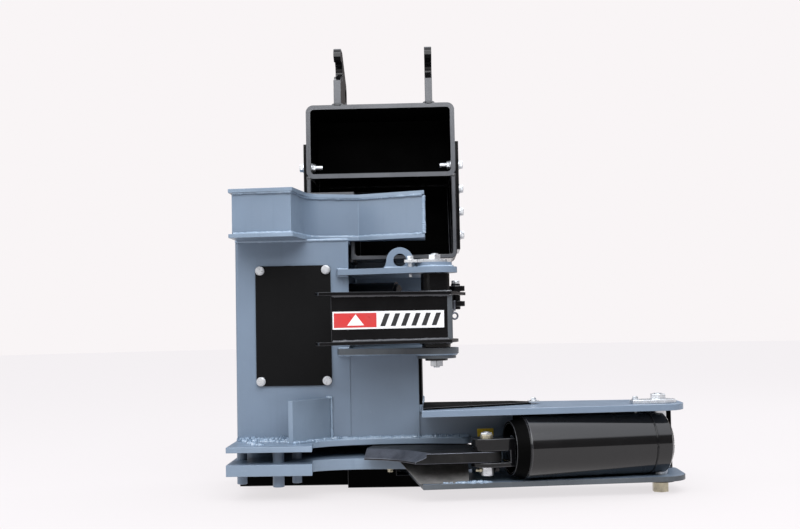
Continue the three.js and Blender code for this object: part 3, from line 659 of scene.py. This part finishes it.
mountSeams = []
for earSide in (-254, -5):
    mountSeams += [([at(edge, 106, 1033.5), at(edge, 322, 1033.5)], 5, 1.2)
                   for edge in (earSide - 1, earSide + 21)]
    mountSeams += [([at(earSide - 1, 103, 1033.5), at(earSide + 21, 103, 1033.5)], 4.5, 1.0)]
mountSeams += [
    ([at(-325, 100, 833), at(-325, 330, 833)], 7, 1.0),
    ([at(68, 100, 833), at(68, 330, 833)], 7, 1.0),
    (level([(-322, 331), (65, 331)], 832), 4.5, 1.0),
    (level([(-330, 99), (-215, 99)], 783), 4, 1.0),
    ([at(-213, 102, 608), at(-213, 280, 608)], 6, 1.0),
    (level([(181, 49), (622, 49)], 46), 4, 1.0),         # guard panel
    (level([(181, 49), (622, 49)], 206), 4, 1.0),
    (level([(-526, 131), (-231, 131)], 64), 4.5, 1.0),   # skids
    (level([(-228, 77), (-102, 77)], 64), 4.5, 1.0),
    (level([(-510, 229), (58, 229)], 94), 4, 1.0),
]

armFace = [(-238, -227), (44, -117)]
innerFace = [(-31, -46)] + curve((-34, -41), (-70, -93), (-150, -137), (-239, -175))[1:]
armSeams = [
    (level(armFace, 394.5), 3.8, 1.1),
    (level(innerFace, 394.5), 3.8, 1.1),
    (level(armFace, 505.5), 3.8, 1.1),
    (level(innerFace, 505.5), 3.8, 1.1),
    (loop(at(12, -45, 514.5), 39), 3.6, 1.0),
    (loop(at(12, -45, 385.5), 39), 3.6, 1.0),
]
seamAngle = 60      # beads shade smoothly up to this many degrees


def runSeams(name, seams, body, coat):
    bm = bmesh.new()
    for path, radius, rough in seams:
        addBead(bm, path, radius, rough)
    smooth(bm, seamAngle)
    finishPiece(name, bm, body, [coat])


# The shear cylinder's seams, port plug and rod pin.
joints = {joint["name"]: joint for joint in frame["record"]["behaviour"]["joints"]}
shearBase = Vector(joints["shear_barrel_pivot"]["pos_m"])
shearAway = Vector(joints["shear_rod_slide"]["axis"]).normalized()


def onShear(along, side=0.0, up=0.0):
    across = Vector((-shearAway.y, shearAway.x, 0))
    return shearBase + (shearAway * along + across * side) * mm + Vector((0, 0, up * mm))


# Each bead is its place along the barrel, the ring's radius and the bead's own.
shearSeams = ((36, 76.2, 2.6), (-10, 61, 3.2))
shearFittings = {"plug": (120, -6), "plugRise": 78.2, "earTop": 28, "pinEnd": -62.5,
                 "crossBolt": -50, "crossSide": 4}


def makeShearDetails():
    seams = [(loop(onShear(along), reach, shearAway), radius, 0.5) for along, reach, radius in shearSeams]
    runSeams("barrel_weld_beads", seams, "shear_barrel", "blackEnamel")

    bm = bmesh.new()
    plugAt, rise = shearFittings["plug"], shearFittings["plugRise"]
    addRod(bm, onShear(*plugAt, rise), (0, 0, 1), 12, 5, 24, 1.0)
    addRod(bm, onShear(*plugAt, rise + 3.3), (0, 0, 1), 8, 3, 6, 0.6)
    smooth(bm)
    finishPiece("barrel_port_plug", bm, "shear_barrel", ["blackEnamel"])

    pinLow, pinHigh = (Vector(corner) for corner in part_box("clevis_pin_top"))
    eye = ((pinLow + pinHigh) / 2 - shearBase).dot(shearAway) / mm
    earTop = shearFittings["earTop"]
    bm = bmesh.new()
    addRod(bm, onShear(eye, 0, earTop + 10), (0, 0, 1), 15, 5, 6, 0.8)
    addRod(bm, onShear(eye, 0, earTop + 13), (0, 0, 1), 8, 3, 20, 0.4)
    addRod(bm, onShear(eye, 0, shearFittings["pinEnd"]), (0, 0, 1), 16, 2.4, 28, 0.8)
    smooth(bm)
    finishPiece("clevis_pin_caps", bm, "shear_rod", ["brightZinc"])

    side, height = shearFittings["crossSide"], shearFittings["crossBolt"]
    bm = bmesh.new()
    addRod(bm, onShear(eye - 24, side, height), shearAway * -1, 7.5, 9, 6, 1.0, material=0)
    addRod(bm, onShear(eye - 17, side, height), shearAway, 9.5, 2, 24, 0.5, material=0)
    addRod(bm, onShear(eye + 22, side, height), shearAway, 3.8, 16, 14, 0.5, material=1)
    addRod(bm, onShear(eye + 19, side, height), shearAway, 6.4, 5, 6, 0.6, material=1)
    smooth(bm)
    finishPiece("clevis_keeper_bolt", bm, "shear_rod", ["blackEnamel", "yellowZinc"])


# Covers and plates that the weldment carries. Each plan is a plate's corners from above.
towerCap = {"plan": [(-501, 11), (-214, 11), (-214, 269), (-501, 269)], "height": 649, "thick": 6}
coverSheet = {"plan": [(-24, -176), (250, -44), (250, -8), (204, 22), (-24, 22)], "height": 223.3,
              "thick": 5}
sheetClip = {"plan": [(244, -50), (272, -44), (272, -18), (244, -14)], "height": 228.4, "thick": 3,
             "bolt": (258, -33, 231.4)}
innerCheek = {"corners": [(61, 300, 822), (61, 300, 622), (61, 120, 622)], "thick": 8}
innerShelf = {"plan": [(-290, 250), (-30, 250), (-30, 318), (-290, 318)], "height": 800, "thick": 8}
guidePlate = {"corners": [(-92, -60, 92.5), (85, -84, 92.5), (85, -173, 47), (-36, -184, 47)],
              "shift": (0, 0.3, -1.6)}


def makePlates():
    bm = bmesh.new()
    addPlate(bm, level(towerCap["plan"], towerCap["height"]), (0, 0, towerCap["thick"] * mm))
    finishPiece("tower_top_cap", bm, "frame", ["greyEnamel", "greyEdgeWearAndHighlight"], edge=1.0 * mm)

    bm = bmesh.new()
    addPlate(bm, level(coverSheet["plan"], coverSheet["height"]), (0, 0, coverSheet["thick"] * mm))
    finishPiece("housing_cover_sheet", bm, "frame", ["deepBlackAndShade", "blackEdgeWearAndHighlight"],
                edge=0.8 * mm)

    bm = bmesh.new()
    addPlate(bm, level(sheetClip["plan"], sheetClip["height"]), (0, 0, sheetClip["thick"] * mm))
    addBolt(bm, at(*sheetClip["bolt"]), (0, 0, 1), 12, 6, 9)
    smooth(bm)
    finishPiece("cover_sheet_clip", bm, "frame", ["brightZinc"])

    bm = bmesh.new()
    addPlate(bm, [at(*corner) for corner in innerCheek["corners"]], (-innerCheek["thick"] * mm, 0, 0))
    addPlate(bm, level(innerShelf["plan"], innerShelf["height"]), (0, 0, innerShelf["thick"] * mm))
    finishPiece("mount_inner_plates", bm, "frame", ["blackEnamel", "blackLipHighlight"],
                edge=1.0 * mm)

    # A guide plate fills the step between the lower jaw and the housing floor; its pale steel colour is
    # painted light that lifts the blade's shadow there.
    bm = bmesh.new()
    addPlate(bm, [at(*corner) for corner in guidePlate["corners"]], Vector(guidePlate["shift"]) * mm)
    finishPiece("lower_guide_plate", bm, "frame", ["guideSteelPaintedLight", "guideSteelPaintedLight"],
                edge=0.5 * mm)


# Bolts. Sizes are across the flats, head height and washer radius.
mountBolts = {"heights": (864, 798, 736, 672), "row": 122, "size": (19, 9, 13.5), "shank": 18,
              "outerRight": 83, "innerRight": 62, "innerLeft": -319, "outerLeft": -340}
armKeeper = {"place": (-50, -58), "flagTop": 597, "bracketTop": 578, "flagLow": 590, "end": 558,
             "size": (15, 8, 10)}
baseKeeper = {"place": (512, -60), "flagTop": 232, "end": 203, "size": (13, 6, 9)}
pinMarks = ((12, -45, 612, 9, 2.4), (571, -50, 246, 10, 2.4), (12, -45, 323, 8, 4))
greasePlug = {"place": (-112, -36, 65), "size": (13, 6, 9)}


def makeBolts():
    bm = bmesh.new()
    size, y = mountBolts["size"], mountBolts["row"]
    for z in mountBolts["heights"]:
        addBolt(bm, at(mountBolts["outerRight"], y, z), (1, 0, 0), *size)
    top = mountBolts["heights"][0]
    addBolt(bm, at(mountBolts["innerRight"], y, top), (-1, 0, 0), *size, shank=mountBolts["shank"])
    addBolt(bm, at(mountBolts["innerLeft"], y, top), (1, 0, 0), *size, shank=mountBolts["shank"])
    addBolt(bm, at(mountBolts["outerLeft"], y, top), (-1, 0, 0), *size)
    smooth(bm)
    finishPiece("mount_bolts", bm, "frame", ["brightZinc"])

    bm = bmesh.new()
    spacer = (armKeeper["bracketTop"] + armKeeper["flagLow"]) / 2
    addBolt(bm, at(*armKeeper["place"], armKeeper["flagTop"]), (0, 0, 1), *armKeeper["size"])
    addRod(bm, at(*armKeeper["place"], armKeeper["end"]), (0, 0, 1), 4.5, 10, 14, 0.5)
    addRod(bm, at(*armKeeper["place"], spacer), (0, 0, 1), 8, 12, 20, 0.4)
    addBolt(bm, at(*baseKeeper["place"], baseKeeper["flagTop"]), (0, 0, 1), *baseKeeper["size"])
    addRod(bm, at(*baseKeeper["place"], baseKeeper["end"]), (0, 0, 1), 4.5, 8, 14, 0.5)
    for x, y, z, radius, thick in pinMarks:
        addRod(bm, at(x, y, z), (0, 0, 1), radius, thick, 20, 0.5)
    smooth(bm)
    finishPiece("pin_keeper_bolts", bm, "frame", ["brightZinc"])

    bm = bmesh.new()
    addBolt(bm, at(*greasePlug["place"]), (0, 0, -1), *greasePlug["size"])
    smooth(bm)
    finishPiece("jaw_grease_plug", bm, "frame", ["yellowZinc"])


# The grapple pin's cap, and the hose ring on the arm with its stem and bolt.
grapplePinCap = {"place": (66, 40, 541), "radius": 10.5, "height": 9, "chamfer": 1.5}
armRing = {"place": (60, -66, 452), "faces": (0.25, -1, 0), "reach": 8, "wire": 2.4, "wireSides": 12,
           "steps": 30, "stem": (58, -66, 478), "bolt": (51, -66, 466)}


def makeGrappleDetails():
    bm = bmesh.new()
    cap = grapplePinCap
    addRod(bm, at(*cap["place"]), (0, 0, 1), cap["radius"], cap["height"], 24, cap["chamfer"])
    smooth(bm)
    finishPiece("grapple_pin_cap", bm, "grapple_rod", ["brightZinc"])

    bm = bmesh.new()
    part = bmesh.new()
    bmesh.ops.create_circle(part, segments=armRing["wireSides"], radius=armRing["wire"] * mm)
    spine = Vector((armRing["reach"] * mm, 0, 0))
    bmesh.ops.translate(part, verts=part.verts[:], vec=spine)
    bmesh.ops.rotate(part, verts=part.verts[:], cent=spine, matrix=Matrix.Rotation(math.pi / 2, 3, "X"))
    bmesh.ops.spin(part, geom=part.edges[:], cent=(0, 0, 0), axis=(0, 0, 1), angle=2 * math.pi,
                   steps=armRing["steps"], use_merge=True)
    bmesh.ops.remove_doubles(part, verts=part.verts[:], dist=0.01 * mm)
    bmesh.ops.recalc_face_normals(part, faces=part.faces[:])
    seat = Matrix.Translation(at(*armRing["place"])) @ turnTo(armRing["faces"])
    bmesh.ops.transform(part, matrix=seat, verts=part.verts[:])
    absorb(bm, part)
    addRod(bm, at(*armRing["stem"]), (0, 0, 1), 5.5, 26, 6, 0.8)
    addRod(bm, at(*armRing["bolt"]), (1, 0, 0), 5, 14, 16, 0.6)
    smooth(bm, 50)
    finishPiece("arm_hose_ring", bm, "grapple_arm", ["groundBevel"])


# The arm's rounded end and its plain markers. Shares run along the arm's front face.
armFront = {"start": (-241, -226), "end": (45, -114), "low": 424, "high": 467}
armPost = {"place": (44, -106, 450), "radius": 10, "height": 110, "sides": 32}
armMarker = {"left": 0.012, "right": 0.955, "blockLeft": 0.022, "blockRight": 0.375,
             "signLeft": 0.130, "signRight": 0.270, "signTop": 0.200, "firstStripe": 0.405,
             "stripeStep": 0.088, "stripeWide": 0.042, "stripeLean": 0.042, "stripes": 6}
panelMarker = {"left": 114, "right": 156, "low": 132, "high": 158, "face": 11.7, "thick": 0.6}


def onArm(along, up, lift):
    run = Vector((armFront["end"][0] - armFront["start"][0], armFront["end"][1] - armFront["start"][1], 0))
    out = Vector((run.y, -run.x, 0)).normalized()
    return at(*armFront["start"], up) + (run * along + out * lift) * mm


def addFlat(bm, corners, lift, thick):
    spots = [onArm(along, up, lift) for along, up in corners]
    away = onArm(0, 0, thick) - onArm(0, 0, 0)
    addPlate(bm, spots, away)


def makeArmDetails():
    # The end post's dark grey, lighter than the black arm, is a painted sheen.
    bm = bmesh.new()
    addRod(bm, at(*armPost["place"]), (0, 0, 1), armPost["radius"], armPost["height"], armPost["sides"])
    smooth(bm)
    finishPiece("arm_end_post", bm, "grapple_arm", ["shadeAndSheenGrey"])

    low, high, mark = armFront["low"], armFront["high"], armMarker
    bm = bmesh.new()
    addFlat(bm, [(mark["left"], low), (mark["right"], low), (mark["right"], high), (mark["left"], high)],
            0.15, 0.5)
    finishPiece("arm_marker_base", bm, "grapple_arm", ["markerWhite"])
    bm = bmesh.new()
    addFlat(bm, [(mark["blockLeft"], low + 4), (mark["blockRight"], low + 4),
                 (mark["blockRight"], high - 4), (mark["blockLeft"], high - 4)], 0.7, 0.3)
    finishPiece("arm_marker_block", bm, "grapple_arm", ["markerRed"])
    bm = bmesh.new()
    addFlat(bm, [(mark["signLeft"], low + 9), (mark["signRight"], low + 9), (mark["signTop"], high - 7)],
            1.05, 0.3)
    finishPiece("arm_marker_triangle", bm, "grapple_arm", ["markerWhite"])
    bm = bmesh.new()
    for index in range(mark["stripes"]):
        left = mark["firstStripe"] + index * mark["stripeStep"]
        right = left + mark["stripeWide"]
        lean = mark["stripeLean"]
        addFlat(bm, [(left, low + 6), (right, low + 6), (right + lean, high - 6), (left + lean, high - 6)],
                0.7, 0.3)
    finishPiece("arm_marker_stripes", bm, "grapple_arm", ["markerBlack"])

    panel = panelMarker
    corners = [(panel["left"], panel["low"]), (panel["right"], panel["low"]),
               (panel["right"], panel["high"]), (panel["left"], panel["high"])]
    bm = bmesh.new()
    addPlate(bm, [at(x, panel["face"], z) for x, z in corners], (0, -panel["thick"] * mm, 0))
    finishPiece("panel_marker", bm, "frame", ["markerYellow"])


makeCamera()
makeFloor()
makeStudio()
print("camera, floor and lights made")

for node in sorted(nodes):
    if node in keptNodes:
        nodes[node].data.materials.clear()
        nodes[node].data.materials.append(finish[slotFinish[slotOf[node]][0]])
    else:
        softenNode(node)
print("CAD nodes finished")
runSeams("frame_weld_beads", frameSeams, "frame", "greyWeldHighlight")
runSeams("mount_weld_beads", mountSeams, "frame", "blackEdgeWearAndHighlight")
runSeams("arm_weld_beads", armSeams, "grapple_arm", "blackLipHighlight")
print("weld beads run")
makeShearDetails()
makePlates()
makeBolts()
makeGrappleDetails()
makeArmDetails()
print("fittings and markers added")
